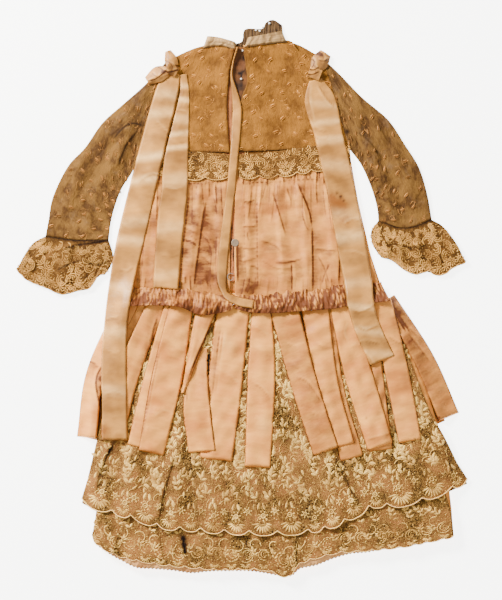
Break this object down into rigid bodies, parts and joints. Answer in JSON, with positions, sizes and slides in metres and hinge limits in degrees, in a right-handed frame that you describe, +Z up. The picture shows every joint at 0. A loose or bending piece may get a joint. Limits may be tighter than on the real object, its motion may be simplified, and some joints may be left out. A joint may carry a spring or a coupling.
{
  "type": "child's dress, laid flat",
  "caption": "Child's gathered silk dress with lace yoke, sleeves and flounces, hanging silk tabs and satin ribbon streamers, laid flat with the opening side up.",
  "frame": {"origin": "on the surface that the dress lies on, under the middle of its outline", "axes": "+Z up from the surface, +Y towards the neck, +X towards the wearer's right sleeve as seen from the opening side"},
  "size_m": [0.6074, 0.7506, 0.0251],
  "materials": {
    "yoke_lace": "golden lace over tan silk",
    "sleeve_lace": "olive-brown lace over silk",
    "guipure": "thick straw-coloured lace",
    "flounce_lace": "straw lace on pink-brown silk",
    "pink_silk": "soft silk, low sheen",
    "satin": "satin ribbon",
    "brown_facing": "matte",
    "gauze": "matte gauze",
    "pearl": "grey pearl",
    "hook_wire": "pale wire"
  },
  "bodies": {
    "root": {"yoke_front": "yoke_lace", "yoke_back_left": "yoke_lace", "yoke_back_right": "yoke_lace", "collar_front": "gauze", "collar_back_left": "gauze", "collar_back_right": "gauze", "opening_facing": "brown_facing", "bodice_front": "pink_silk", "bodice_back_left": "pink_silk", "bodice_back_right": "pink_silk", "lace_band_left": "yoke_lace", "lace_band_right": "yoke_lace", "waist_shirring_front": "pink_silk", "waist_shirring_left": "pink_silk", "waist_shirring_right": "pink_silk", "sleeve_left_upper": "sleeve_lace", "sleeve_left_under": "sleeve_lace", "sleeve_right_upper": "sleeve_lace", "sleeve_right_under": "sleeve_lace", "cuff_left_upper": "guipure", "cuff_left_under": "guipure", "cuff_right_upper": "guipure", "cuff_right_under": "guipure", "skirt_front": "pink_silk", "skirt_back": "pink_silk", "hem_frill_back": "pink_silk", "flounce_lower_front": "flounce_lace", "flounce_lower_back": "flounce_lace", "flounce_upper_front": "flounce_lace", "flounce_upper_back": "flounce_lace", "tabs_front": "pink_silk", "tab_01": "pink_silk", "tab_02": "pink_silk", "tab_03": "pink_silk", "tab_04": "pink_silk", "tab_05": "pink_silk", "tab_06": "pink_silk", "tab_07": "pink_silk", "tab_08": "pink_silk", "tab_09": "pink_silk", "tab_10": "pink_silk", "tab_11": "pink_silk", "tab_12": "pink_silk", "tab_13": "pink_silk", "tab_14": "pink_silk", "tab_15": "pink_silk", "tab_16": "pink_silk", "streamer_left_long": "satin", "streamer_left_short": "satin", "streamer_right": "satin", "centre_ribbon": "satin", "bow_loop_left_low": "satin", "bow_loop_left_up": "satin", "bow_loop_right": "satin", "knot_left": "satin", "knot_right": "satin", "button": "pearl", "hook": "hook_wire"}
  },
  "joints": []
}
